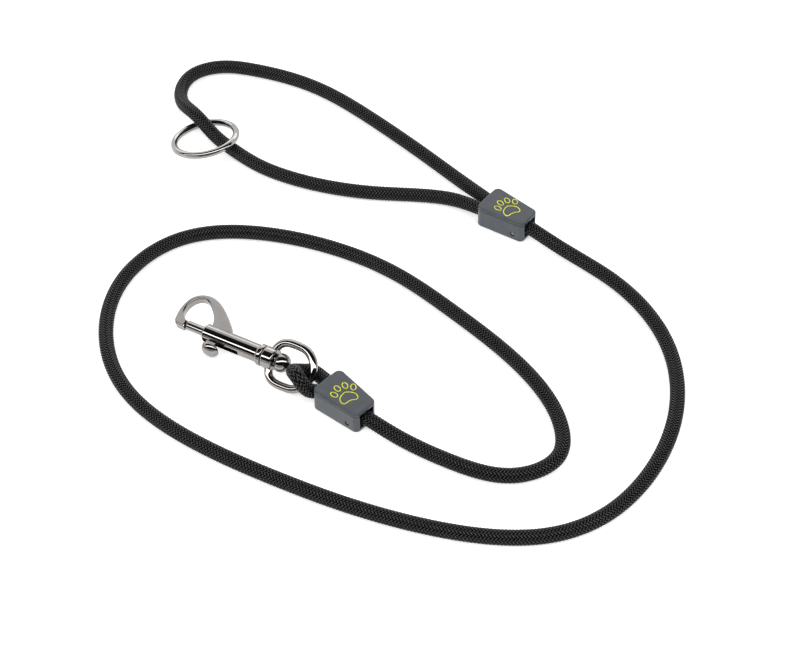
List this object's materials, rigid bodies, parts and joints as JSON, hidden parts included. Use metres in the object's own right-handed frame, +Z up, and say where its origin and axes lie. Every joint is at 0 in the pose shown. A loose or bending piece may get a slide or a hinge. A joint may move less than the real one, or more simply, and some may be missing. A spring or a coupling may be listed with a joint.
{
  "type": "training leash",
  "caption": "Slim braided rope leash with a clamped handle loop, a loose ring on the loop and a clamped swivel bolt snap.",
  "frame": {"origin": "middle of the handle clamp's underside, on the plane that the leash lies on", "axes": "+Z up; +Y from the swivel snap's side towards the handle loop's side; +X from the ring's side towards the lead's outer turn"},
  "size_m": [0.3037, 0.3575, 0.0206],
  "materials": {
    "rope_braid": "matt black tight round braid with a slight sheen",
    "clamp_plastic": "satin to gloss dark grey moulded plastic",
    "clamp_metal": "plain bright steel, mostly hidden in the clamps",
    "ring_metal": "polished dark nickel plating",
    "snap_metal": "polished black nickel plating",
    "spring_metal": "plain spring steel"
  },
  "bodies": {
    "leash": {"rope": "rope_braid", "handle_clamp_shell": "clamp_plastic", "handle_clamp_cover": "clamp_plastic", "handle_clamp_crimp": "clamp_metal", "handle_clamp_pin_near": "clamp_metal", "handle_clamp_pin_far": "clamp_metal", "snap_clamp_shell": "clamp_plastic", "snap_clamp_cover": "clamp_plastic", "snap_clamp_crimp": "clamp_metal", "snap_clamp_pin_near": "clamp_metal", "snap_clamp_pin_far": "clamp_metal"},
    "ring": {"o_ring": "ring_metal"},
    "eye": {"swivel_eye": "snap_metal"},
    "snap": {"snap_body": "snap_metal", "swivel_rivet": "snap_metal", "plunger_spring": "spring_metal"},
    "bolt": {"plunger": "snap_metal", "thumb_stud": "snap_metal"}
  },
  "joints": [
    {"name": "ring_swing", "type": "hinge", "parent": "leash", "child": "ring", "pos_m": [-0.1655, 0.07025, 0.0067], "axis": [-0.6896, 0.7061, 0.1609], "range_deg": [0, 150]},
    {"name": "eye_swing", "type": "hinge", "parent": "leash", "child": "eye", "pos_m": [-0.10641, -0.12298, 0.0085], "axis": [0.6497, 0.4389, 0.6207], "range_deg": [-50, 50]},
    {"name": "snap_spin", "type": "hinge", "parent": "eye", "child": "snap", "pos_m": [-0.1229, -0.1094, 0.0097], "axis": [-0.856, 0.5123, -0.0698], "continuous": true},
    {"name": "plunger_slide", "type": "slide", "parent": "snap", "child": "bolt", "axis": [0.856, -0.5123, 0.0698], "range_m": [0, 0.013], "stiffness_N_per_m": 150, "springref_m": -0.012, "deforming": ["plunger_spring"]}
  ]
}
